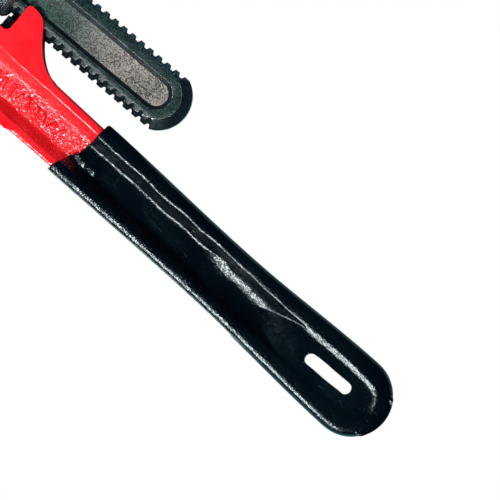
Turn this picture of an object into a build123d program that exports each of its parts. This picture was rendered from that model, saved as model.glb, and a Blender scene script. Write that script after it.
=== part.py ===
from build123d import *
import os
from math import atan, cos, degrees, pi, radians, sin

# Adjustable pipe wrench, 350 mm class, lying flat. Lengths are in millimetres, angles in degrees.
# Design frame: x runs along the handle from its tail tip to the jaws, y = 0 is the handle's
# centre line with the mouth opening towards +y, and z = 0 is the wrench's middle plane.

# Handle casting
BEAM_HALF_WIDTH = 14.85
BEAM_WAIST_HALF_WIDTH = 14.4
BEAM_HALF_THICKNESS = 9.0
WEB_HALF_THICKNESS = 3.8
RECESS_FLOOR_WIDTH = 11.7
RECESS_SLOPE = 41.0
RECESS_START = 50.0
RECESS_END = 266.0
FLARE_START = 206.5
FLARE_POINTS = ((213.3, -16.8), (220.5, -22.7), (226.2, -29.8))
HORN_END = (-3.6, 5.8)
HORN_CORNER = ((-0.8, 5.8), (0.0, 6.6))
HEAD_HALF_THICKNESS = 12.0
EDGE_ROUNDING = 1.7

# Dipped grip
COAT = 1.75
GRIP_TAIL_RADIUS = 18.3
GRIP_WAIST_X = 78.0
GRIP_WAIST_HALF_WIDTH = 16.0
GRIP_FRONT_HALF_WIDTH = 15.95
GRIP_BACK_HALF_WIDTH = 17.05
GRIP_ROUNDING = 3.6
GRIP_END_BACK = 176.0
GRIP_END_FRONT = 183.5
SLOT_CENTRE_X = 31.7
SLOT_LENGTH = 25.8
SLOT_WIDTH = 5.8
SLOT_TURN = 2.5

# Head frame: its origin is on the shank's axis at the shelf below the nut
HEAD_X = 237.0
HEAD_Y = -38.8
HEAD_TURN = 1.8

# Shank and thread
SHANK_RADIUS = 13.85
SHANK_HALF_THICKNESS = 7.7
SHANK_TIP = -83.1
TIP_RADIUS = 15.3
BEVEL_WIDTH = 4.6
BEVEL_DEPTH = 3.4
PITCH = 5.0
THREAD_DEPTH = 1.5
CREST_WIDTH = 2.2
ROOT_WIDTH = 1.3
FIRST_GAP = -72.7
LAST_GAP = 52.0
POCKET_WIDTH = 14.6
POCKET_FLOOR_WIDTH = 10.9
POCKET_DEPTH = 1.8
POCKET_START = -74.3
POCKET_END = 58.0

# Nut and its window
WINDOW_LENGTH = 28.6
WINDOW_WALL = 21.4
WINDOW_CORNER = 1.5
NUT_RADIUS = 17.9
NUT_FACE_RADIUS = 16.3
NUT_CHAMFER = 1.6
NUT_LOW = 5.8
NUT_HIGH = 27.8
LEDGE_TOP = 4.8
LEDGE_BACK = 15.3
TINE_BACK = -8.0
THREAD_GAP = 0.35

# Housing loop round the shank
LOOP_TOP = 56.0
LOOP_BACK = -22.5
LOOP_FRONT = 19.3
LOOP_HALF_THICKNESS = 15.0
LOOP_CORNER = 5.0
LOOP_RIM = 2.0
LOOP_HOLE_BACK = -16.4
LOOP_HOLE_FRONT = 15.2
LOOP_HOLE_HALF = 8.15
FORK_HALF_GAP = 8.2
FORK_WALL = 16.4

# Jaws
HEEL_SEAT = 47.0
HEEL_FACE = 61.0
HEEL_BACK = 19.5
HEEL_FRONT = 50.5
HEEL_HALF_WIDTH = 11.0
LIP = 3.5
TONGUE_BOTTOM = 40.8
TONGUE_HALF_WIDTH = 5.0
OPENING_AT_REST = 20.0
HOOK_HALF_THICKNESS = 11.0
HOOK_ROUNDING = 3.5
HOOK_HEEL = (4.0, -17.0)
HOOK_BACK = ((26.0, -11.0), (37.0, 12.0), (32.0, 37.0))
HOOK_NOSE = ((13.0, 54.5), (3.0, 55.0), (0.0, 51.5))
JAW_TOOTH_PITCH = 3.1
JAW_TOOTH_DEPTH = 1.8
JAW_TOOTH_ROOT = (0.5, 0.9)
JAW_TOOTH_LAND = 0.1
PIN_RADIUS = 2.5
PIN_X = 44.0
PIN_Y = 35.0

# Springs
COIL_X = 35.0
COIL_BORE_RADIUS = 4.0
COIL_BORE_END = 27.0
COIL_RADIUS = 2.9
COIL_WIRE = 1.2
COIL_PITCH = 2.4
LEAF_THICKNESS = 0.8
LEAF_WIDTH = 9.0
RIVET_RADIUS = 1.25
RIVET_HEAD_RADIUS = 2.4
LEAF_BOW_X = 43.0
LEAF_END_X = 32.0

HOOK_FACE = HEEL_FACE + OPENING_AT_REST
TAIL_RADIUS = GRIP_TAIL_RADIUS - COAT
LEAD_ANGLE = degrees(atan(PITCH / (2 * pi * (SHANK_RADIUS - THREAD_DEPTH / 2))))
FLANK = (PITCH - CREST_WIDTH - ROOT_WIDTH) / 2 / THREAD_DEPTH
HEAD = Location((HEAD_X, HEAD_Y, 0), (0, 0, HEAD_TURN))


def face_within(lines):
    """Flat face inside a closed run of lines and curves."""
    return make_face([edge for line in lines for edge in line.edges()])


def head_point(x, y):
    """Design-frame point of a point given in the head frame."""
    turn = radians(HEAD_TURN)
    return (HEAD_X + x * cos(turn) - y * sin(turn), HEAD_Y + x * sin(turn) + y * cos(turn))


def block(x, y, z):
    """Box from its three ranges."""
    centre = [(low + high) / 2 for low, high in (x, y, z)]
    return Pos(*centre) * Box(x[1] - x[0], y[1] - y[0], z[1] - z[0])


def slab(outline, half_thickness):
    """Plate of a closed outline, centred on the middle plane."""
    return extrude(outline, half_thickness, both=True)


def both_faces(solid):
    """A solid and its mirror image below the middle plane."""
    return [solid, mirror(solid, Plane.XY)]


def beam_outline(tail_radius, tail_x, waist, wide_front, wide_back, end_front, end_back):
    """Plan of the handle: a round tail that narrows to a waist and widens a little to the head."""
    lines = [
        ThreePointArc((tail_x + tail_radius, tail_radius), (tail_x, 0), (tail_x + tail_radius, -tail_radius)),
        Spline(
            (tail_x + tail_radius, -tail_radius),
            (GRIP_WAIST_X, -waist),
            (end_back, -wide_back),
            tangents=[(1, 0), (1, 0)],
        ),
        Line((end_back, -wide_back), (end_front, wide_front)),
        Spline(
            (end_front, wide_front),
            (GRIP_WAIST_X, waist),
            (tail_x + tail_radius, tail_radius),
            tangents=[(-1, 0), (-1, 0)],
        ),
    ]
    return face_within(lines)


def hang_slot(length, width):
    """Slot tool through the tail."""
    plan = Pos(SLOT_CENTRE_X, 0) * Rot(0, 0, SLOT_TURN) * SlotOverall(length, width)
    return slab(plan, 2 * BEAM_HALF_THICKNESS)


def recess(floor_z, floor_width):
    """Tool for the long sloped recess of the I-section, upper face."""
    floor = Pos((RECESS_START + RECESS_END) / 2, 0, floor_z) * SlotOverall(RECESS_END - RECESS_START, floor_width)
    return extrude(floor, HEAD_HALF_THICKNESS, taper=-RECESS_SLOPE)


def beam():
    """I-section beam with the slotted tail."""
    plan = beam_outline(
        TAIL_RADIUS, COAT, BEAM_WAIST_HALF_WIDTH, BEAM_HALF_WIDTH, BEAM_HALF_WIDTH, HEAD_X + 5, HEAD_X + 5
    )
    solid = slab(plan, BEAM_HALF_THICKNESS)
    rims = solid.faces().sort_by(Axis.Z)[0].edges() + solid.faces().sort_by(Axis.Z)[-1].edges()
    solid = fillet(rims.filter_by(lambda edge: edge.center().X < HEAD_X), EDGE_ROUNDING)
    return solid - hang_slot(SLOT_LENGTH + 2 * COAT, SLOT_WIDTH + 2 * COAT)


def head_plan():
    """Plan of the head below and beside the nut: flare, fork and jaw seat."""
    horn = head_point(*HORN_END)
    front_start = (FLARE_START, BEAM_HALF_WIDTH)
    lines = [
        Spline((FLARE_START, -BEAM_HALF_WIDTH), *FLARE_POINTS, horn, tangents=[(1, 0), (1, -0.1)]),
        Polyline(
            horn,
            *[head_point(*corner) for corner in HORN_CORNER],
            head_point(0, WINDOW_WALL - WINDOW_CORNER),
            head_point(WINDOW_CORNER, WINDOW_WALL),
            head_point(WINDOW_LENGTH + 1, WINDOW_WALL),
            head_point(WINDOW_LENGTH + 1, LOOP_HOLE_FRONT),
            head_point(HEEL_SEAT + LIP, LOOP_HOLE_FRONT),
            head_point(HEEL_SEAT + LIP, HEEL_BACK - 0.2),
            head_point(HEEL_SEAT, HEEL_BACK - 0.2),
            head_point(HEEL_SEAT, HEEL_FRONT + LIP),
        ),
        Spline(
            head_point(HEEL_SEAT, HEEL_FRONT + LIP),
            head_point(HEEL_SEAT / 2, HEEL_FRONT + LIP + 1.5),
            front_start,
            tangents=[(-1, 0.1), (-1, 0)],
        ),
        Line(front_start, (FLARE_START, -BEAM_HALF_WIDTH)),
    ]
    return face_within(lines)


def handle_casting():
    """One casting: beam, flared head with the fork and the nut window, and the housing loop."""
    head = slab(head_plan(), HEAD_HALF_THICKNESS)
    wedge = Plane.XZ * make_face(
        Polyline(
            (FLARE_START - 1, BEAM_HALF_THICKNESS),
            (FLARE_START + 12, HEAD_HALF_THICKNESS + 0.01),
            (FLARE_START - 1, HEAD_HALF_THICKNESS + 0.01),
            close=True,
        )
    )
    head -= both_faces(extrude(wedge, 2 * NUT_RADIUS, both=True))
    loop = block((WINDOW_LENGTH, LOOP_TOP), (LOOP_BACK, LOOP_FRONT), (-LOOP_HALF_THICKNESS, LOOP_HALF_THICKNESS))
    loop = fillet(loop.edges().filter_by(Axis.X), LOOP_CORNER)
    loop = fillet(loop.faces().sort_by(Axis.X)[-1].edges(), LOOP_RIM)
    shank_hole = block(
        (WINDOW_LENGTH - 5, LOOP_TOP + 5), (LOOP_HOLE_BACK, LOOP_HOLE_FRONT), (-LOOP_HOLE_HALF, LOOP_HOLE_HALF)
    )
    fork_gap = block((-60, 0.01), (-60, FORK_WALL), (-FORK_HALF_GAP, FORK_HALF_GAP))
    ledge = block((-2, LEDGE_TOP), (LEDGE_BACK, WINDOW_WALL + 2), (-FORK_HALF_GAP, WEB_HALF_THICKNESS))
    long_tine = block((-2, LEDGE_TOP), (TINE_BACK, WINDOW_WALL + 2), (-BEAM_HALF_THICKNESS - 2, -FORK_HALF_GAP))
    tongue_slot = block(
        (TONGUE_BOTTOM - 0.3, HEEL_SEAT + 5),
        (LOOP_FRONT + 2.2, HEEL_FRONT + 10),
        (-TONGUE_HALF_WIDTH - 0.1, TONGUE_HALF_WIDTH + 0.1),
    )
    coil_bore = Pos(COIL_X, COIL_BORE_END, 0) * Rot(90, 0, 0) * Cylinder(
        COIL_BORE_RADIUS, COIL_BORE_END - LOOP_HOLE_FRONT + 2, align=(Align.CENTER, Align.CENTER, Align.MIN)
    )
    pin_bore = Pos(PIN_X, PIN_Y, 0) * Cylinder(PIN_RADIUS, 4 * HEAD_HALF_THICKNESS)
    rivet_bore = rivet_rod(RIVET_RADIUS, LOOP_TOP - 6, LOOP_TOP + 2)
    solid = beam() + head + HEAD * loop
    solid -= both_faces(recess(WEB_HALF_THICKNESS, RECESS_FLOOR_WIDTH))
    solid -= [HEAD * tool for tool in (shank_hole, fork_gap, tongue_slot, coil_bore, pin_bore, rivet_bore)]
    return solid + HEAD * ledge + HEAD * long_tine


def dipped_grip(casting):
    """PVC coat over the tail of the handle, slanted at its open end."""
    end_centre = (GRIP_END_BACK + GRIP_END_FRONT) / 2
    plan = beam_outline(
        GRIP_TAIL_RADIUS,
        0,
        GRIP_WAIST_HALF_WIDTH,
        GRIP_FRONT_HALF_WIDTH,
        GRIP_BACK_HALF_WIDTH,
        GRIP_END_FRONT,
        GRIP_END_BACK,
    )
    outer = slab(plan, BEAM_HALF_THICKNESS + COAT)
    rims = outer.faces().sort_by(Axis.Z)[0].edges() + outer.faces().sort_by(Axis.Z)[-1].edges()
    outer = fillet(rims.filter_by(lambda edge: edge.center().X < end_centre - 2), GRIP_ROUNDING)
    outer -= both_faces(recess(WEB_HALF_THICKNESS + COAT, RECESS_FLOOR_WIDTH - 1.5))
    return outer - casting - hang_slot(SLOT_LENGTH, SLOT_WIDTH)


def groove_ring(side):
    """Tool for one gap between shank teeth: an arc of ring tilted by the thread's lead angle."""
    reach = 0.8
    top = ROOT_WIDTH / 2 + FLANK * (THREAD_DEPTH + reach)
    root_y = SHANK_RADIUS - THREAD_DEPTH
    section = make_face(
        Polyline(
            (-ROOT_WIDTH / 2, root_y),
            (-top, SHANK_RADIUS + reach),
            (top, SHANK_RADIUS + reach),
            (ROOT_WIDTH / 2, root_y),
            close=True,
        )
    )
    ring = Rot(-50, 0, 0) * revolve(section, Axis.X, 100)
    return Rot(0, LEAD_ANGLE, 0) * ring if side > 0 else Rot(180, 0, 0) * Rot(0, LEAD_ANGLE, 0) * ring


def jaw_teeth(face_x, y_range, direction, half_width):
    """Tools that cut raked teeth across a jaw face; direction is the way out of the jaw."""
    low, high = y_range
    count = int((high - low) / JAW_TOOTH_PITCH)
    tools = []
    for number in range(count):
        start = low + number * JAW_TOOTH_PITCH
        notch = make_face(
            Polyline(
                (face_x + direction, start),
                (face_x, start + JAW_TOOTH_ROOT[0]),
                (face_x - direction * JAW_TOOTH_DEPTH, start + JAW_TOOTH_ROOT[1]),
                (face_x, start + JAW_TOOTH_PITCH - JAW_TOOTH_LAND),
                (face_x + direction, start + JAW_TOOTH_PITCH - JAW_TOOTH_LAND),
                close=True,
            )
        )
        tools.append(slab(notch, half_width + 1))
    return tools


def tip_bevel():
    """Tool for the broad bevel round the shank's tip, upper face."""
    section = make_face(
        Polyline(
            (TIP_RADIUS - BEVEL_WIDTH, SHANK_HALF_THICKNESS),
            (TIP_RADIUS, SHANK_HALF_THICKNESS - BEVEL_DEPTH),
            (TIP_RADIUS + 2, SHANK_HALF_THICKNESS - BEVEL_DEPTH),
            (TIP_RADIUS + 2, SHANK_HALF_THICKNESS + 1),
            (TIP_RADIUS - BEVEL_WIDTH, SHANK_HALF_THICKNESS + 1),
            close=True,
        )
    )
    ring = revolve(Plane.XZ * section, Axis.Z, 180)
    return Pos(SHANK_TIP + TIP_RADIUS, 0, 0) * Rot(0, 0, 90) * ring


def shank():
    """Bar flattened from a round, with a bevelled tip, threaded edges and a pocket in both faces."""
    edge_x = SHANK_TIP + TIP_RADIUS - (TIP_RADIUS**2 - SHANK_RADIUS**2) ** 0.5
    lines = [
        ThreePointArc((edge_x, SHANK_RADIUS), (SHANK_TIP, 0), (edge_x, -SHANK_RADIUS)),
        Polyline(
            (edge_x, -SHANK_RADIUS),
            (HOOK_FACE + 5, -SHANK_RADIUS),
            (HOOK_FACE + 5, SHANK_RADIUS),
            (edge_x, SHANK_RADIUS),
        ),
    ]
    bar = slab(face_within(lines), SHANK_HALF_THICKNESS)
    bar &= Rot(0, 90, 0) * Cylinder(SHANK_RADIUS, 4 * HOOK_FACE)
    tools = both_faces(tip_bevel())
    for side in (1, -1):
        ring = groove_ring(side)
        gap = FIRST_GAP if side > 0 else FIRST_GAP + PITCH / 2
        while gap < LAST_GAP:
            tools.append(Pos(gap, 0, 0) * ring)
            gap += PITCH
    pocket_floor = Pos((POCKET_START + POCKET_END) / 2, 0, SHANK_HALF_THICKNESS - POCKET_DEPTH) * SlotOverall(
        POCKET_END - POCKET_START - (POCKET_WIDTH - POCKET_FLOOR_WIDTH), POCKET_FLOOR_WIDTH
    )
    wall_slope = degrees(atan((POCKET_WIDTH - POCKET_FLOOR_WIDTH) / 2 / POCKET_DEPTH))
    tools += both_faces(extrude(pocket_floor, POCKET_DEPTH + 1, taper=-wall_slope))
    return bar - tools


def hook_head():
    """Forged hook over the mouth, with its raked teeth."""
    start = HOOK_FACE - 2
    heel, *back, nose, nose_front, nose_edge = [
        (HOOK_FACE + x, y) for x, y in (HOOK_HEEL, *HOOK_BACK, *HOOK_NOSE)
    ]
    lines = [
        Polyline((start, SHANK_RADIUS), (start, -SHANK_RADIUS), heel),
        Spline(heel, *back, nose, tangents=[(1, -0.1), (-0.9, 0.5)]),
        Polyline(
            nose,
            nose_front,
            nose_edge,
            (HOOK_FACE, HEEL_BACK),
            (start, SHANK_RADIUS + 3),
            (start, SHANK_RADIUS),
        ),
    ]
    head = slab(face_within(lines), HOOK_HALF_THICKNESS)
    head = fillet(head.edges().filter_by(GeomType.BSPLINE), HOOK_ROUNDING)
    return head - jaw_teeth(HOOK_FACE, (HEEL_BACK, nose_edge[1]), -1, HOOK_HALF_THICKNESS)


def nut():
    """Adjusting nut: chamfered drum, grooved inside along a helix that clears the shank's teeth, then bored."""
    low, high = NUT_LOW, NUT_HIGH
    bore = SHANK_RADIUS - THREAD_DEPTH + THREAD_GAP
    drum = make_face(
        Polyline(
            (low, 0),
            (low, NUT_FACE_RADIUS),
            (low + NUT_CHAMFER, NUT_RADIUS),
            (high - NUT_CHAMFER, NUT_RADIUS),
            (high, NUT_FACE_RADIUS),
            (high, 0),
            close=True,
        )
    )
    groove_x = FIRST_GAP + PITCH / 2
    while groove_x < low - 2 * PITCH:
        groove_x += PITCH
    gap_top = CREST_WIDTH / 2 + THREAD_GAP
    depth = THREAD_DEPTH + 0.1
    path = Helix(PITCH, high - groove_x + PITCH, bore)
    section = Plane(origin=path @ 0, x_dir=(1, 0, 0), z_dir=path % 0) * make_face(
        Polyline(
            (-0.4, -gap_top - FLANK * (depth + 0.4)),
            (depth, -gap_top),
            (depth, gap_top),
            (-0.4, gap_top + FLANK * (depth + 0.4)),
            close=True,
        )
    )
    groove = sweep(section, path, is_frenet=True)
    along_shank = Plane(origin=(groove_x, 0, 0), x_dir=(0, 1, 0), z_dir=(1, 0, 0))
    body = revolve(drum, Axis.X) - along_shank.location * groove
    return body - Rot(0, 90, 0) * Cylinder(bore, 4 * WINDOW_LENGTH)


def heel_jaw():
    """Hardened tooth insert with a tongue that the pin holds in the head."""
    pad = block((HEEL_SEAT, HEEL_FACE), (HEEL_BACK, HEEL_FRONT), (-HEEL_HALF_WIDTH, HEEL_HALF_WIDTH))
    tongue = block(
        (TONGUE_BOTTOM, HEEL_SEAT + 1), (LOOP_FRONT + 2.5, HEEL_FRONT - 2), (-TONGUE_HALF_WIDTH, TONGUE_HALF_WIDTH)
    )
    teeth = jaw_teeth(HEEL_FACE, (HEEL_BACK, HEEL_FRONT), 1, HEEL_HALF_WIDTH)
    return pad + tongue - teeth - Pos(PIN_X, PIN_Y, 0) * Cylinder(PIN_RADIUS, 4 * HEEL_HALF_WIDTH)


def heel_jaw_pin():
    """Roll pin: rolled tube with a slit along it."""
    length = 2 * HEAD_HALF_THICKNESS - 0.6
    rod = Cylinder(PIN_RADIUS, length)
    tube = chamfer(rod.edges().filter_by(GeomType.CIRCLE), 0.4) - Cylinder(PIN_RADIUS - 0.9, length + 1)
    slit = block((0, PIN_RADIUS + 1), (-0.35, 0.35), (-length, length))
    return Pos(PIN_X, PIN_Y, 0) * (tube - slit)


def coil_spring():
    """Coil spring in its bore in front of the shank."""
    length = COIL_BORE_END - SHANK_RADIUS - 0.3 - COIL_WIRE
    path = Helix(COIL_PITCH, length, COIL_RADIUS)
    section = Plane(origin=path @ 0, z_dir=path % 0) * Circle(COIL_WIRE / 2)
    spring = sweep(section, path, is_frenet=True)
    return Pos(COIL_X, COIL_BORE_END - COIL_WIRE / 2 - 0.05, 0) * Rot(90, 0, 0) * spring


def rivet_rod(radius, low, high):
    """Rod along the shank's direction at the leaf spring's rivet."""
    centre_y = (LOOP_BACK + LOOP_HOLE_BACK) / 2
    rod = Rot(0, 90, 0) * Cylinder(radius, high - low, align=(Align.CENTER, Align.CENTER, Align.MIN))
    return Pos(low, centre_y, 0) * rod


def leaf_spring():
    """Leaf riveted on the loop and bowed against the back of the shank."""
    foot_x = LOOP_TOP + 0.2
    outer = [
        Line((foot_x + LEAF_THICKNESS, LOOP_BACK + 0.6), (foot_x + LEAF_THICKNESS, LOOP_HOLE_BACK + 0.1)),
        ThreePointArc(
            (foot_x + LEAF_THICKNESS, LOOP_HOLE_BACK + 0.1),
            (foot_x - 0.1, LOOP_HOLE_BACK + 1.15),
            (foot_x - 2.0, LOOP_HOLE_BACK + 1.5),
        ),
        ThreePointArc(
            (foot_x - 2.0, LOOP_HOLE_BACK + 1.5),
            (LEAF_BOW_X, -SHANK_RADIUS - 0.2),
            (LEAF_END_X, -SHANK_RADIUS - 1.1),
        ),
        Line((LEAF_END_X, -SHANK_RADIUS - 1.1), (LEAF_END_X, -SHANK_RADIUS - 1.1 - LEAF_THICKNESS)),
        ThreePointArc(
            (LEAF_END_X, -SHANK_RADIUS - 1.1 - LEAF_THICKNESS),
            (LEAF_BOW_X, -SHANK_RADIUS - 0.2 - LEAF_THICKNESS),
            (foot_x - 2.0, LOOP_HOLE_BACK + 1.5 - LEAF_THICKNESS),
        ),
        ThreePointArc(
            (foot_x - 2.0, LOOP_HOLE_BACK + 1.5 - LEAF_THICKNESS),
            (foot_x - 0.6, LOOP_HOLE_BACK + 0.45),
            (foot_x, LOOP_HOLE_BACK - 0.2),
        ),
        Polyline(
            (foot_x, LOOP_HOLE_BACK - 0.2),
            (foot_x, LOOP_BACK + 0.6),
            (foot_x + LEAF_THICKNESS, LOOP_BACK + 0.6),
        ),
    ]
    leaf = slab(face_within(outer), LEAF_WIDTH / 2)
    return leaf - rivet_rod(RIVET_RADIUS + 0.3, LOOP_TOP - 1, LOOP_TOP + 3)


def leaf_rivet():
    """Round-head rivet that holds the leaf's foot down."""
    head_x = LOOP_TOP + 0.2 + LEAF_THICKNESS + 0.2
    rod = rivet_rod(RIVET_RADIUS, LOOP_TOP - 6, head_x + 0.2)
    return rod + rivet_rod(RIVET_HEAD_RADIUS, head_x, head_x + 1.3)


CASTING = handle_casting()
PIECES = {
    "handle": CASTING,
    "grip": dipped_grip(CASTING),
    "hook_jaw": HEAD * (shank() + hook_head()),
    "adjusting_nut": HEAD * nut(),
    "heel_jaw": HEAD * heel_jaw(),
    "heel_jaw_pin": HEAD * heel_jaw_pin(),
    "coil_spring": HEAD * coil_spring(),
    "flat_spring": HEAD * leaf_spring(),
    "flat_spring_rivet": HEAD * leaf_rivet(),
}

# The handed-over frame keeps the directions and puts its origin below the middle of the wrench.
BOX = Compound(children=[Compound(piece.solids()) for piece in PIECES.values()]).bounding_box()
SHIFT = Vector(-(BOX.min.X + BOX.max.X) / 2, -(BOX.min.Y + BOX.max.Y) / 2, -BOX.min.Z)

os.makedirs("parts", exist_ok=True)
for name, piece in PIECES.items():
    export_step(Pos(SHIFT) * piece, f"parts/{name}.step")
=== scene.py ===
from math import cos, pi, radians, sin

import bmesh
import bpy
import numpy as np
from mathutils import Matrix, Vector, noise


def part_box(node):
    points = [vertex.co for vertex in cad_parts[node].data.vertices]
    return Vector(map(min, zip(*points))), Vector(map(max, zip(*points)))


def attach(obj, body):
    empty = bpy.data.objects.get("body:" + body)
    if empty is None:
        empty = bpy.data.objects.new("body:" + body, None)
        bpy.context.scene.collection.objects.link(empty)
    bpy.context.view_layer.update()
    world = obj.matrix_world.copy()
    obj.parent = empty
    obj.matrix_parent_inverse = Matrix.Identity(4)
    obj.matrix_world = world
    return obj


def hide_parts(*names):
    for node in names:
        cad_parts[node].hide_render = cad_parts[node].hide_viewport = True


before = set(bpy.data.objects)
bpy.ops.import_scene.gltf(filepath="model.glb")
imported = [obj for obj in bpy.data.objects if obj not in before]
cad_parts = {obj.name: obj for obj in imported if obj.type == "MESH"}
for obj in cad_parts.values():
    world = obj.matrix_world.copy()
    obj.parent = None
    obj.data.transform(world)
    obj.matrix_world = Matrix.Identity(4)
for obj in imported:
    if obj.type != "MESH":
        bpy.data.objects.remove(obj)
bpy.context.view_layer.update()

# ---------------------------------------------------------------------------------------------
# The studio: a plain pale floor and soft boxes round the wrench, which lies flat and is seen from
# straight above. The strongest box stands on the side of the mouth, so the edges that face it shine.
MM = 0.001
scene = bpy.context.scene
scene.view_settings.view_transform = "Standard"

grip_low, grip_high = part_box("grip")
tail_x = grip_low.x
axis_y = (grip_low.y + grip_high.y) / 2
middle_z = (grip_low.z + grip_high.z) / 2

VIEW_WIDTH = 218.3 * MM
VIEW_TURN = radians(-138)
VIEW_CENTRE = Vector((tail_x + 93.7 * MM, axis_y - 17.5 * MM, middle_z + 9 * MM))
LENS = 220
FLOOR_AREA = ((-3.0, -3.0), (3.0, 3.0))
CARD_NEAR = (75, 18)
CARD_FAR = (420, 260)
LAYER_GAP = 0.2 * MM


def linear(hex_colour):
    """Linear RGBA of an sRGB hex colour."""
    channels = [int(hex_colour[i : i + 2], 16) / 255 for i in (1, 3, 5)]
    return tuple(c / 12.92 if c <= 0.04045 else ((c + 0.055) / 1.055) ** 2.4 for c in channels) + (1.0,)


def add_node(tree, kind, inputs=(), **settings):
    """Adds a node; settings are its properties, inputs are values or the sockets that feed it."""
    node = tree.nodes.new(kind)
    for name, value in settings.items():
        setattr(node, name, value)
    for name, value in dict(inputs).items():
        if isinstance(value, bpy.types.NodeSocket):
            tree.links.new(value, node.inputs[name])
        else:
            node.inputs[name].default_value = value
    return node


def new_material(name):
    """An empty material: its tree, its Principled shader and its Object coordinates."""
    material = bpy.data.materials.new(name)
    material.use_nodes = True
    tree = material.node_tree
    place = add_node(tree, "ShaderNodeTexCoord").outputs["Object"]
    return material, tree, tree.nodes["Principled BSDF"], place


def soft_box(name, direction, elevation, distance, size, power):
    """A square area light that looks at the middle of the wrench's visible half."""
    light = bpy.data.lights.new(name, "AREA")
    light.size = size
    light.energy = power
    lamp = bpy.data.objects.new(name, light)
    turn, lift = radians(direction), radians(elevation)
    offset = Vector((cos(lift) * cos(turn), cos(lift) * sin(turn), sin(lift))) * distance
    lamp.location = VIEW_CENTRE + offset
    lamp.rotation_euler = offset.to_track_quat("Z", "Y").to_euler()
    scene.collection.objects.link(lamp)
    return lamp


camera = bpy.data.objects.new("camera", bpy.data.cameras.new("camera"))
camera.data.lens = LENS
camera.location = VIEW_CENTRE + Vector((0, 0, VIEW_WIDTH * LENS / camera.data.sensor_width))
camera.rotation_euler = (0, 0, VIEW_TURN)
scene.collection.objects.link(camera)
scene.camera = camera


def floor_plane(name, height, area, material):
    """A rectangle of paper below the wrench."""
    mesh = bpy.data.meshes.new(name)
    (left, front), (right, back) = area
    corners = [(left, front, height), (right, front, height), (right, back, height), (left, back, height)]
    mesh.from_pydata(corners, [], [(0, 1, 2, 3)])
    mesh.materials.append(material)
    plane = bpy.data.objects.new(name, mesh)
    scene.collection.objects.link(plane)
    return plane


def glowing(name, tone, strength):
    """A material that only glows, for paper and cards."""
    material, _, shader, _ = new_material(name)
    shader.inputs["Base Color"].default_value = (0, 0, 0, 1)
    shader.inputs["Emission Color"].default_value = linear(tone)
    shader.inputs["Emission Strength"].default_value = strength
    return material


# The camera sees bright plain paper; what the wrench mirrors is a dim floor on the side of its shadow
# and a bright card on the side of the key light, along the handle up to the slot.
dim, _, shader, _ = new_material("dim_studio_floor")
shader.inputs["Base Color"].default_value = linear("#6FB0BC")
shader.inputs["Roughness"].default_value = 0.9
floor = floor_plane("floor", 0.0, FLOOR_AREA, dim)
floor.visible_camera = False
backdrop = glowing("bright_backdrop_paper", "#FFFFFF", 1.0)
paper = floor_plane("paper", -LAYER_GAP, FLOOR_AREA, backdrop)
card_area = [(tail_x + x * MM, axis_y + y * MM) for x, y in (CARD_NEAR, CARD_FAR)]
card = floor_plane("card", LAYER_GAP, card_area, glowing("reflector_card", "#E8FAFC", 6.0))
card.visible_camera = False
for plane in (paper, card):
    plane.visible_diffuse = False
paper.visible_glossy = False

soft_box("key_box", 94, 48, 0.9, 0.26, 13.5)
soft_box("head_box", 38, 46, 1.0, 0.22, 3)
soft_box("back_fill", 262, 30, 1.2, 0.9, 6).visible_glossy = False

world = bpy.data.worlds.new("studio")
world.use_nodes = True
world.node_tree.nodes["Background"].inputs["Color"].default_value = linear("#6FB4C4")
world.node_tree.nodes["Background"].inputs["Strength"].default_value = 0.08
scene.world = world

# ---------------------------------------------------------------------------------------------
# The handle: one sand casting with an I-section beam, a fork and a window for the nut, and a loop
# for the shank. It is shot clean and dipped in red enamel, so its edges are soft and its web grainy.
CAST_VOXEL = 0.64 * MM
BEAM_TOP = 9.0
WEB_TOP = 3.8
COAT = 1.75
DISH_DEPTH = 0.85
DISH_CENTRE = 17.0
DISH_RADIUS = 10.7
DISH_EDGE = 3.2
DISH_END = 72.0
DISH_RUN = 22.0
RECESS_HALF_WIDTH = 11.0
TROUGH_END = 116.0
TROUGH_RUN = 26.0
TROUGH_CURVE = 0.064
TROUGH_HALF_FLAT = 0.5
TROUGH_HEIGHT = 5.0
RISE_START = 76.0
RISE_RUN = 27.0
MARK_START = 190.0
MARK_OFFSET = 0.3
MARK_COUNT = 11
MARK_PITCH = 4.7
MARK_HEIGHT = 7.6
MARK_SLANT = 0.42
SHORTEST_MARK = (0.75, 0.62, 1)
LONGEST_MARK = (1.3, 1, 1)
BAR_HALF_WIDTH = 1.15
BAR_RISE = 0.8
BAR_ROOT = 0.1
BAR_UNDER = 0.5


def merged_copy(node, name):
    """A copy of a CAD node's mesh whose doubled corners are merged."""
    bm = bmesh.new()
    bm.from_mesh(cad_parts[node].data)
    bmesh.ops.remove_doubles(bm, verts=bm.verts, dist=0.001 * MM)
    mesh = bpy.data.meshes.new(name)
    bm.to_mesh(mesh)
    bm.free()
    piece = bpy.data.objects.new(name, mesh)
    scene.collection.objects.link(piece)
    return piece


def bake_modifiers(piece):
    """Makes a piece and its modifiers one plain mesh."""
    graph = bpy.context.evaluated_depsgraph_get()
    piece.data = bpy.data.meshes.new_from_object(piece.evaluated_get(graph))
    piece.modifiers.clear()


def soften(piece, voxel, passes):
    """Rebuilds a shape on a fine grid and relaxes it, which rounds its edges as casting or dipping does."""
    grid = piece.modifiers.new("grid", "REMESH")
    grid.mode = "VOXEL"
    grid.voxel_size = voxel
    relax = piece.modifiers.new("relax", "SMOOTH")
    relax.factor = 0.5
    relax.iterations = passes
    bake_modifiers(piece)


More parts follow.
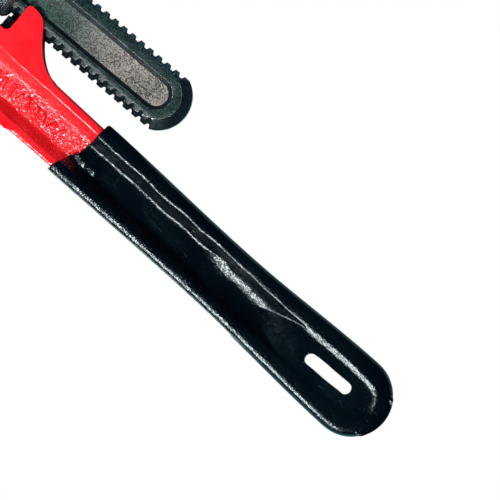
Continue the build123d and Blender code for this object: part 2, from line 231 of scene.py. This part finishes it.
def shape_points(piece, rule):
    """Moves a piece's points by a rule on their places in millimetres from the tail tip, the axis and the
    middle plane, and on whether each of them faces away from the middle plane."""
    mesh = piece.data
    origin = np.array((tail_x, axis_y, middle_z))
    points = np.empty(len(mesh.vertices) * 3, np.float32)
    normals = np.empty(len(mesh.vertices) * 3, np.float32)
    mesh.vertices.foreach_get("co", points)
    mesh.vertex_normals.foreach_get("vector", normals)
    points = (points.reshape(-1, 3).astype(float) - origin) / MM
    moved = rule(points, normals.reshape(-1, 3)[:, 2] * points[:, 2] > 0)
    mesh.vertices.foreach_set("co", (moved * MM + origin).astype(np.float32).ravel())
    mesh.update()


def ease(value):
    """Smooth step from 0 to 1 of arrays."""
    value = np.clip(value, 0, 1)
    return value * value * (3 - 2 * value)


def lumps(points, size, seed):
    """Smooth noise between -1 and 1 with features of a given size, at many points."""
    shift = Vector((seed, 2 * seed, 3 * seed))
    return np.array([noise.noise(Vector(point) / size + shift) for point in points])


def dish(points, top):
    """Sinks the tail round its slot, hollows the end of the beam's recess into a trough and lets it rise
    softly into that dish."""
    x, y, z = points.T
    reach = np.hypot(np.minimum(x - DISH_CENTRE, 0), y)
    ceiling = top - DISH_DEPTH * ease((DISH_RADIUS - reach) / DISH_EDGE) * ease((DISH_END - x) / DISH_RUN)
    web = top - BEAM_TOP + WEB_TOP
    curve = TROUGH_CURVE * np.clip(np.abs(y) - TROUGH_HALF_FLAT, 0, None) ** 2
    trough = np.minimum(curve, TROUGH_HEIGHT) * ease((TROUGH_END - x) / TROUGH_RUN)
    rise = (top - DISH_DEPTH - web) * ease((RISE_START - x) / RISE_RUN)
    floor_height = np.where(np.abs(y) < RECESS_HALF_WIDTH, web + np.maximum(trough, rise), 0)
    inner = (np.abs(z) > web - 0.6) & (x < TROUGH_END)
    height = np.where(inner, np.clip(np.abs(z), floor_height, None), np.abs(z))
    height = np.minimum(height, ceiling)
    return np.stack((x, y, np.copysign(height, z)), axis=1)


def dress(piece, material, body, node):
    """Gives a piece its material, smooth shading and body, and hides the CAD node that it stands for."""
    piece.data.polygons.foreach_set("use_smooth", [True] * len(piece.data.polygons))
    piece.data.materials.clear()
    piece.data.materials.append(material)
    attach(piece, body)
    if node:
        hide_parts(node)


def two_tones(tree, factor, low, dark, high, light):
    """Colour that runs between two hex tones over part of a 0 to 1 value."""
    ramp = add_node(tree, "ShaderNodeValToRGB", {"Fac": factor})
    for element, position, tone in zip(ramp.color_ramp.elements, (low, high), (dark, light)):
        element.position = position
        element.color = linear(tone)
    return ramp.outputs["Color"]


def height_mask(tree, place, low, high):
    """1 near the middle plane and 0 further out than two heights in millimetres."""
    split = add_node(tree, "ShaderNodeSeparateXYZ", {"Vector": place})
    from_middle = add_node(tree, "ShaderNodeMath", {0: split.outputs["Z"], 1: middle_z}, operation="SUBTRACT")
    height = add_node(tree, "ShaderNodeMath", {0: from_middle.outputs[0]}, operation="ABSOLUTE")
    ends = {"From Min": low * MM, "From Max": high * MM, "To Min": 1.0, "To Max": 0.0}
    return add_node(tree, "ShaderNodeMapRange", {"Value": height.outputs[0], **ends}).outputs["Result"]


def glint_normals(tree, place, size, spread):
    """Normals that differ from speck to speck of a size in millimetres, for a film that glitters."""
    specks = add_node(tree, "ShaderNodeTexVoronoi", {"Vector": place, "Scale": 1 / (size * MM)})
    half = {0: specks.outputs["Color"], 1: (0.5, 0.5, 0.5)}
    centred = add_node(tree, "ShaderNodeVectorMath", half, operation="SUBTRACT").outputs["Vector"]
    tilt = add_node(tree, "ShaderNodeVectorMath", {0: centred, "Scale": spread}, operation="SCALE")
    straight = add_node(tree, "ShaderNodeNewGeometry").outputs["Normal"]
    tilted = add_node(tree, "ShaderNodeVectorMath", {0: straight, 1: tilt.outputs["Vector"]}, operation="ADD")
    unit = add_node(tree, "ShaderNodeVectorMath", {0: tilted.outputs["Vector"]}, operation="NORMALIZE")
    return unit.outputs["Vector"]


def red_enamel():
    """Stoving enamel over sand-cast iron: deep glossy red whose film follows the casting's grain, so the
    web glints in hundreds of small specks while the flanges stay calm."""
    material, tree, shader, place = new_material("red_stoving_enamel")
    web = height_mask(tree, place, 4.6, 6.4)
    sand = add_node(tree, "ShaderNodeTexNoise", {"Vector": place, "Scale": 1250.0, "Detail": 2.0})
    patches = add_node(tree, "ShaderNodeTexNoise", {"Vector": place, "Scale": 80.0, "Detail": 4.0})
    colour = two_tones(tree, patches.outputs["Fac"], 0.3, "#D80F1A", 0.7, "#F01E28")
    film = {"Value": patches.outputs["Fac"], "To Min": 0.1, "To Max": 0.24}
    film = add_node(tree, "ShaderNodeMapRange", film)
    depth = add_node(tree, "ShaderNodeMapRange", {"Value": web, "To Min": 0.4, "To Max": 1.0})
    grain = {"Height": sand.outputs["Fac"], "Strength": depth.outputs["Result"], "Distance": 0.5 * MM}
    bump = add_node(tree, "ShaderNodeBump", grain)
    swell = {"Height": patches.outputs["Fac"], "Strength": 0.5, "Distance": 1.6 * MM}
    surface = add_node(tree, "ShaderNodeBump", {**swell, "Normal": bump.outputs["Normal"]})
    tree.links.new(colour, shader.inputs["Base Color"])
    tree.links.new(film.outputs["Result"], shader.inputs["Roughness"])
    tree.links.new(surface.outputs["Normal"], shader.inputs["Normal"])
    glints = add_node(tree, "ShaderNodeMapRange", {"Value": web, "To Min": 0.25, "To Max": 0.95})
    tree.links.new(glint_normals(tree, place, 0.5, glints.outputs["Result"]), shader.inputs["Coat Normal"])
    shader.inputs["Coat Weight"].default_value = 0.8
    shader.inputs["Coat Roughness"].default_value = 0.08
    return material


enamel = red_enamel()
casting = merged_copy("handle", "handle_casting")
soften(casting, CAST_VOXEL, 4)
shape_points(casting, lambda points, outward: dish(points, BEAM_TOP))
dress(casting, enamel, "handle", "handle")


def mark_group():
    """Geometry nodes: a row of soft raised bars of uneven length and slant, the casting's generic marks."""
    group = bpy.data.node_groups.new("cast_marks", "GeometryNodeTree")
    face = group.interface
    sockets = {}
    for name, kind, value in (
        ("Count", "NodeSocketInt", MARK_COUNT),
        ("Pitch", "NodeSocketFloat", MARK_PITCH * MM),
        ("Height", "NodeSocketFloat", MARK_HEIGHT * MM),
        ("Seed", "NodeSocketInt", 5),
        ("Bar", "NodeSocketObject", None),
        ("Enamel", "NodeSocketMaterial", None),
    ):
        sockets[name] = face.new_socket(name=name, in_out="INPUT", socket_type=kind)
        if value is not None:
            sockets[name].default_value = value
    face.new_socket(name="Geometry", in_out="OUTPUT", socket_type="NodeSocketGeometry")
    given = group.nodes.new("NodeGroupInput").outputs
    step = add_node(group, "ShaderNodeCombineXYZ", {"X": given["Pitch"]})
    line = {"Count": given["Count"], "Offset": step.outputs["Vector"]}
    line = add_node(group, "GeometryNodeMeshLine", line)
    slant = add_node(group, "FunctionNodeRandomValue", {"Seed": given["Seed"]}, data_type="FLOAT_VECTOR")
    slant.inputs["Min"].default_value = (0, 0, -MARK_SLANT)
    slant.inputs["Max"].default_value = (0, 0, MARK_SLANT)
    size = add_node(group, "FunctionNodeRandomValue", {"Seed": given["Seed"]}, data_type="FLOAT_VECTOR")
    size.inputs["Min"].default_value = SHORTEST_MARK
    size.inputs["Max"].default_value = LONGEST_MARK
    scaled = add_node(group, "ShaderNodeCombineXYZ", {"X": 1.0, "Y": given["Height"], "Z": 1.0})
    both = {0: size.outputs["Value"], 1: scaled.outputs["Vector"]}
    stretch = add_node(group, "ShaderNodeVectorMath", both, operation="MULTIPLY")
    bar = add_node(group, "GeometryNodeObjectInfo", {"Object": given["Bar"]})
    placed = {
        "Points": line.outputs["Mesh"],
        "Instance": bar.outputs["Geometry"],
        "Rotation": slant.outputs["Value"],
        "Scale": stretch.outputs["Vector"],
    }
    bars = add_node(group, "GeometryNodeInstanceOnPoints", placed)
    solid = add_node(group, "GeometryNodeRealizeInstances", {"Geometry": bars.outputs["Instances"]})
    painted = {"Geometry": solid.outputs["Geometry"], "Material": given["Enamel"]}
    painted = add_node(group, "GeometryNodeSetMaterial", painted)
    add_node(group, "NodeGroupOutput", {"Geometry": painted.outputs["Geometry"]})
    return group, {name: socket.identifier for name, socket in sockets.items()}


def soft_bar():
    """A pillow-shaped bar, 1 m long before it is scaled, with a rounded crest: one cast mark."""
    mesh = bpy.data.meshes.new("mark_bar")
    across, along = 9, 13
    points, faces = [], []
    for row in range(along):
        for column in range(across):
            u, v = 2 * column / (across - 1) - 1, 2 * row / (along - 1) - 1
            rise = (1 - u * u) * (1 - v**8)
            points.append((u * BAR_HALF_WIDTH * MM, v * 0.5, (BAR_RISE * rise - BAR_ROOT) * MM))
    top = len(points)
    points += [(x, y, -BAR_UNDER * MM) for x, y, _ in points]
    for row in range(along - 1):
        for column in range(across - 1):
            a = row * across + column
            quad = (a, a + 1, a + across + 1, a + across)
            faces.append(quad)
            faces.append(tuple(top + corner for corner in reversed(quad)))
    rim = list(range(across))
    rim += [row * across + across - 1 for row in range(1, along)]
    rim += [(along - 1) * across + c for c in range(across - 2, -1, -1)]
    rim += [row * across for row in range(along - 2, 0, -1)]
    for a, b in zip(rim, rim[1:] + rim[:1]):
        faces.append((b, a, top + a, top + b))
    mesh.from_pydata(points, [], faces)
    return bpy.data.objects.new("mark_bar", mesh)


bar = soft_bar()
group, inputs = mark_group()
for name, side in (("marks_upper", 1), ("marks_lower", -1)):
    marks = bpy.data.objects.new(name, bpy.data.meshes.new(name))
    scene.collection.objects.link(marks)
    nodes = marks.modifiers.new("marks", "NODES")
    nodes.node_group = group
    nodes[inputs["Bar"]] = bar
    nodes[inputs["Enamel"]] = enamel
    nodes[inputs["Seed"]] = 5 if side > 0 else 11
    bake_modifiers(marks)
    base = Vector((tail_x + MARK_START * MM, axis_y + MARK_OFFSET * MM, middle_z + side * WEB_TOP * MM))
    turn = Matrix.Identity(4) if side > 0 else Matrix.Rotation(pi, 4, "X")
    marks.data.transform(Matrix.Translation(base) @ turn)
    dress(marks, enamel, "handle", None)
bpy.data.objects.remove(bar)

# ---------------------------------------------------------------------------------------------
# The grip: the tail of the handle dipped in black PVC, which leaves a thick glossy skin with soft
# edges, a drawn-down lip at its open end, a few drips and a slot to hang the wrench by.
DIP_VOXEL = 0.6 * MM
# Where the dip ends along the handle, for places across it.
END_LINE = (
    (-16.0, 176.0),
    (-12.8, 176.2),
    (-3.9, 176.9),
    (1.5, 177.6),
    (3.2, 179.3),
    (9.8, 182.0),
    (15.0, 183.2),
    (17.1, 183.5),
)
# Each drip's place along and across the handle, its radius and its height.
DRIPS = ((173.2, 2.6, 2.2, 1.5), (167.3, 2.9, 2.4, 1.8), (176.9, 1.6, 1.5, 0.9), (120.0, -1.0, 5.0, 0.25))
DRIP_FLOOR = 4.8
END_STRETCH = 14.0
WAVE_SIZE = 11.0
WAVE_HEIGHT = 0.22


def dipped_pvc():
    """Plastisol cured in an oven: blue-black and glossy, with a fine orange peel that breaks each
    highlight into glitter."""
    material, tree, shader, place = new_material("dipped_black_pvc")
    peel = add_node(tree, "ShaderNodeTexNoise", {"Vector": place, "Scale": 1500.0, "Detail": 2.0})
    clouds = add_node(tree, "ShaderNodeTexNoise", {"Vector": place, "Scale": 60.0, "Detail": 3.0})
    colour = two_tones(tree, clouds.outputs["Fac"], 0.35, "#01030A", 0.75, "#020A10")
    gloss = {"Value": clouds.outputs["Fac"], "To Min": 0.11, "To Max": 0.18}
    gloss = add_node(tree, "ShaderNodeMapRange", gloss)
    fine = {"Height": peel.outputs["Fac"], "Strength": 0.9, "Distance": 0.22 * MM}
    fine = add_node(tree, "ShaderNodeBump", fine)
    swell = {"Height": clouds.outputs["Fac"], "Strength": 0.4, "Distance": 1.2 * MM}
    surface = add_node(tree, "ShaderNodeBump", {**swell, "Normal": fine.outputs["Normal"]})
    tree.links.new(colour, shader.inputs["Base Color"])
    tree.links.new(gloss.outputs["Result"], shader.inputs["Roughness"])
    tree.links.new(surface.outputs["Normal"], shader.inputs["Normal"])
    tree.links.new(glint_normals(tree, place, 0.42, 0.26), shader.inputs["Coat Normal"])
    shader.inputs["Coat Weight"].default_value = 0.35
    shader.inputs["Coat Roughness"].default_value = 0.1
    shader.inputs["IOR"].default_value = 1.3
    shader.inputs["Specular Tint"].default_value = linear("#D4F0F6")
    return material


def dip_shape(points, outward):
    """Draws the open end to its wavy line, sinks the dish round the slot and adds drips under the skin."""
    points = dish(points, BEAM_TOP + COAT * outward)
    x, y, z = points.T
    across, along = zip(*END_LINE)
    straight = np.interp(y, (across[0], across[-1]), (along[0], along[-1]))
    wavy = np.interp(y, across, along)
    x = x + (wavy - straight) * ease((x - straight + END_STRETCH) / 12.0)
    for drip_x, drip_y, radius, height in DRIPS:
        away = ((x - drip_x) ** 2 + (y - drip_y) ** 2) / radius**2
        z = z + np.sign(z) * height * np.exp(-away) * (np.abs(z) > DRIP_FLOOR)
    wave = WAVE_HEIGHT * lumps(points, WAVE_SIZE, 3) * ease((175.0 - x) / 12.0) * ease((x - 4.0) / 6.0)
    sideways = np.where(np.abs(y) < 13, 3 * wave, 0)
    return np.stack((x, y + sideways, z + np.sign(z) * (wave - WAVE_HEIGHT)), axis=1)


dip = merged_copy("grip", "dipped_grip")
soften(dip, DIP_VOXEL, 6)
shape_points(dip, dip_shape)
dress(dip, dipped_pvc(), "handle", "grip")

# ---------------------------------------------------------------------------------------------
# The hook jaw: a forging whose long flat shank has a thread cut on both edges. It is tumbled and
# phosphated, so its corners are just broken; the pocket keeps the forging's pale grainy scale.
HEAD_CORNER = Vector((tail_x + 237 * MM, axis_y - 38.8 * MM, middle_z))
HEAD_TURN = radians(1.8)
HEAD_PLACE = Matrix.Translation(HEAD_CORNER) @ Matrix.Rotation(HEAD_TURN, 4, "Z")
SHANK_RADIUS = 13.85
POCKET_HALF = 7.3
RIM_HEIGHT = 7.7
JAW_START = 84.0
GREEN_START = 192.0
GREEN_END = 220.0
# Box in the head's frame, in millimetres, whose casting faces are painted black as shade.
FORK_SHADE_BOX = ((-0.4, 5.6), (-9.0, 21.6), (-10.5, 4.5))


def break_edges(piece, width, angle):
    """Joins flat triangles into faces and puts a small bevel on every corner sharper than an angle."""
    bm = bmesh.new()
    bm.from_mesh(piece.data)
    bmesh.ops.dissolve_limit(bm, angle_limit=radians(1), verts=bm.verts, edges=bm.edges)
    bm.to_mesh(piece.data)
    bm.free()
    bevel = piece.modifiers.new("bevel", "BEVEL")
    bevel.width = width
    bevel.segments = 2
    bevel.limit_method = "ANGLE"
    bevel.angle_limit = radians(angle)
    bevel.harden_normals = True
    bevel.use_clamp_overlap = True
    bake_modifiers(piece)


def steel(name, dark, light, grain_size, rough, relief, metallic, shine=0.5, green=0.0):
    """Coated steel: crystals in two tones over cloudy patches, with a grain that dulls the shine. The share
    green tints it from GREEN_START on."""
    material, tree, shader, place = new_material(name)
    grain = {"Vector": place, "Scale": 1 / (grain_size * MM), "Detail": 3.0}
    grain = add_node(tree, "ShaderNodeTexNoise", grain)
    clouds = add_node(tree, "ShaderNodeTexNoise", {"Vector": place, "Scale": 110.0, "Detail": 5.0})
    blend = add_node(tree, "ShaderNodeMix", {0: 0.25, 2: grain.outputs["Fac"], 3: clouds.outputs["Fac"]})
    colour = two_tones(tree, blend.outputs[0], 0.4, dark, 0.62, light)
    if green:
        split = add_node(tree, "ShaderNodeSeparateXYZ", {"Vector": place})
        ends = {"From Min": tail_x + GREEN_START * MM, "From Max": tail_x + GREEN_END * MM, "To Max": green}
        share = add_node(tree, "ShaderNodeMapRange", {"Value": split.outputs["X"], **ends})
        tinted = add_node(tree, "ShaderNodeMix", {0: share.outputs["Result"], 6: colour}, data_type="RGBA")
        tinted.blend_type = "MULTIPLY"
        tinted.inputs[7].default_value = linear("#669C96")
        colour = tinted.outputs[2]
    dull = {"Value": clouds.outputs["Fac"], "To Min": rough - 0.1, "To Max": rough + 0.1}
    dull = add_node(tree, "ShaderNodeMapRange", dull)
    relief = {"Height": grain.outputs["Fac"], "Strength": relief, "Distance": 0.25 * MM}
    bump = add_node(tree, "ShaderNodeBump", relief)
    tree.links.new(colour, shader.inputs["Base Color"])
    tree.links.new(dull.outputs["Result"], shader.inputs["Roughness"])
    tree.links.new(bump.outputs["Normal"], shader.inputs["Normal"])
    shader.inputs["Metallic"].default_value = metallic
    shader.inputs["Specular IOR Level"].default_value = shine
    return material


# Dark phosphate under oil, that shines only on its broken corners. The same black is also painted inside the
# handle's fork as shade.
oiled_and_shade_black = steel("oiled_thread_and_painted_shade", "#04090D", "#16242A", 0.6, 0.32, 0.6, 0.0, 0.3)
# The same coat on the flat rims, duller and greener where hands and the tumbler rubbed it.
rubbed = steel("rubbed_phosphate_flat", "#071214", "#2A403E", 0.6, 0.34, 0.8, 0.0, 0.25)
# Forging scale under phosphate in the pocket: pale and sandy.
scale = steel("forging_scale", "#1E2222", "#928C86", 0.62, 0.45, 1.0, 0.0, 0.35, 1.0)
# Corners that the tumbler rubbed nearly to bright metal; their tone is also lifted near white as a painted
# highlight on every broken edge at rim height.
wear_and_highlight = steel("worn_corner_and_painted_highlight", "#7E8A88", "#E6ECEA", 0.6, 0.26, 0.4, 0.4)

hook = merged_copy("hook_jaw", "hook_jaw_forging")
break_edges(hook, 0.42 * MM, 30)
dress(hook, oiled_and_shade_black, "hook", "hook_jaw")
for finish in (rubbed, scale, wear_and_highlight):
    hook.data.materials.append(finish)
to_head = HEAD_PLACE.inverted()
# The fork's inside is painted shade: its casting faces take the black phosphate finish in place of the red
# enamel, to stand for the deep shade in the window round the nut.
casting.data.materials.append(oiled_and_shade_black)
for polygon in casting.data.polygons:
    spot = to_head @ polygon.center / MM
    in_fork_shade = all(low < place < high for place, (low, high) in zip(spot, FORK_SHADE_BOX))
    if in_fork_shade and polygon.normal.z > -0.5:
        polygon.material_index = 1
for polygon in hook.data.polygons:
    spot = to_head @ polygon.center / MM
    upright = abs(polygon.normal.z)
    if upright > 0.99 and abs(abs(spot.z) - RIM_HEIGHT) > 0.5 and abs(spot.y) < POCKET_HALF:
        polygon.material_index = 2
    elif upright > 0.985 and abs(spot.y) < SHANK_RADIUS or spot.x > JAW_START:
        polygon.material_index = 1
    # Broken edges at rim height take the pale finish: tumbler wear and a painted highlight.
    elif upright > 0.3 and abs(spot.z) > RIM_HEIGHT - 0.2:
        polygon.material_index = 3

# ---------------------------------------------------------------------------------------------
# The adjusting nut: a turned steel drum with a diamond knurl for the thumb and a thread inside that
# clears the shank's teeth. It is phosphated like the jaw.
NUT_LOW, NUT_HIGH = 5.8, 27.8
NUT_RADIUS = 17.9
NUT_FACE_RADIUS = 16.3
NUT_CHAMFER = 1.6
BORE_RADIUS = 12.7
PITCH = 5.0
THREAD_DEPTH = 1.6
KNURLS_ROUND = 72
KNURL_PITCH = 1.56
KNURL_DEPTH = 0.5
THREAD_START = -0.2
COLUMNS = 432


def knurled_nut():
    """Closed grid round the shank's axis: knurled drum outside, chamfered ends, helical groove inside."""
    outer = np.linspace(NUT_LOW + NUT_CHAMFER, NUT_HIGH - NUT_CHAMFER, 76)
    inner = np.linspace(NUT_HIGH - 0.3, NUT_LOW + 0.3, 90)
    angle = np.linspace(0, 2 * pi, COLUMNS, endpoint=False)
    rows = []
    for x in outer:
        fade = ease(min(x - outer[0], outer[-1] - x) / 0.8)
        first = np.abs(((angle * KNURLS_ROUND / (2 * pi) + x / KNURL_PITCH) % 1) - 0.5) * 2
        second = np.abs(((angle * KNURLS_ROUND / (2 * pi) - x / KNURL_PITCH) % 1) - 0.5) * 2
        groove = np.maximum(ease((first - 0.55) / 0.45), ease((second - 0.55) / 0.45))
        rows.append((x, NUT_RADIUS - KNURL_DEPTH * groove * fade))
    flat = np.ones(COLUMNS)
    rows += [(NUT_HIGH - 0.2, (NUT_FACE_RADIUS + 0.2) * flat), (NUT_HIGH, (NUT_FACE_RADIUS - 0.3) * flat)]
    rows += [(NUT_HIGH, (BORE_RADIUS + 2.2) * flat), (NUT_HIGH, (BORE_RADIUS + 1.9) * flat)]
    for x in inner:
        turn = ((x - THREAD_START) / PITCH - angle / (2 * pi)) % 1
        middle = np.abs(((turn + 0.5) % 1) - 0.5) * PITCH
        rows.append((x, BORE_RADIUS + THREAD_DEPTH * (1 - ease((middle - 1.2) / 0.7))))
    rows += [(NUT_LOW, (BORE_RADIUS + 1.9) * flat), (NUT_LOW, (BORE_RADIUS + 2.2) * flat)]
    rows += [(NUT_LOW, (NUT_FACE_RADIUS - 0.3) * flat), (NUT_LOW + 0.2, (NUT_FACE_RADIUS + 0.2) * flat)]
    points = []
    for x, radius in rows:
        points += list(zip(np.full(COLUMNS, x), radius * np.cos(angle), radius * np.sin(angle)))
    faces = []
    for row in range(len(rows)):
        for column in range(COLUMNS):
            following, beside = (row + 1) % len(rows), (column + 1) % COLUMNS
            corners = ((row, column), (row, beside), (following, beside), (following, column))
            faces.append([r * COLUMNS + c for r, c in reversed(corners)])
    mesh = bpy.data.meshes.new("knurled_nut")
    mesh.from_pydata([Vector(point) * MM for point in points], [], faces)
    mesh.transform(HEAD_PLACE)
    piece = bpy.data.objects.new("knurled_nut", mesh)
    scene.collection.objects.link(piece)
    return piece


nut_finish = steel("worn_phosphate_knurl", "#05090D", "#33444A", 0.6, 0.26, 0.6, 0.1)
dress(knurled_nut(), nut_finish, "nut", "adjusting_nut")

# ---------------------------------------------------------------------------------------------
# The heel jaw: a hardened toothed insert held in the head by a rolled pin of blued spring steel.
insert = steel("hardened_insert", "#23292C", "#6C7376", 0.4, 0.4, 0.5, 0.5)
blued = steel("blued_spring_steel", "#141C2C", "#3C4656", 0.3, 0.28, 0.25, 0.8)
heel = merged_copy("heel_jaw", "heel_jaw_insert")
break_edges(heel, 0.2 * MM, 30)
dress(heel, insert, "handle", "heel_jaw")
pin = merged_copy("heel_jaw_pin", "rolled_pin")
dress(pin, blued, "handle", "heel_jaw_pin")

# ---------------------------------------------------------------------------------------------
# The springs: a coil and a riveted leaf that keep the shank's thread in the nut. Both are oil-tempered
# wire or strip, and the rivet is zinc plated.
zinc = steel("zinc_plated_rivet", "#9098A0", "#C4C8CC", 0.5, 0.3, 0.15, 0.9)
for node, name, body, finish, slot in (
    ("coil_spring", "coil", "handle", blued, "spring_steel"),
    ("flat_spring", "leaf", "spring_leaf", blued, "spring_steel"),
    ("flat_spring_rivet", "leaf_rivet", "handle", zinc, "rivet_steel"),
):
    piece = merged_copy(node, name)
    if node != "coil_spring":
        break_edges(piece, 0.12 * MM, 30)
    dress(piece, finish, body, node)
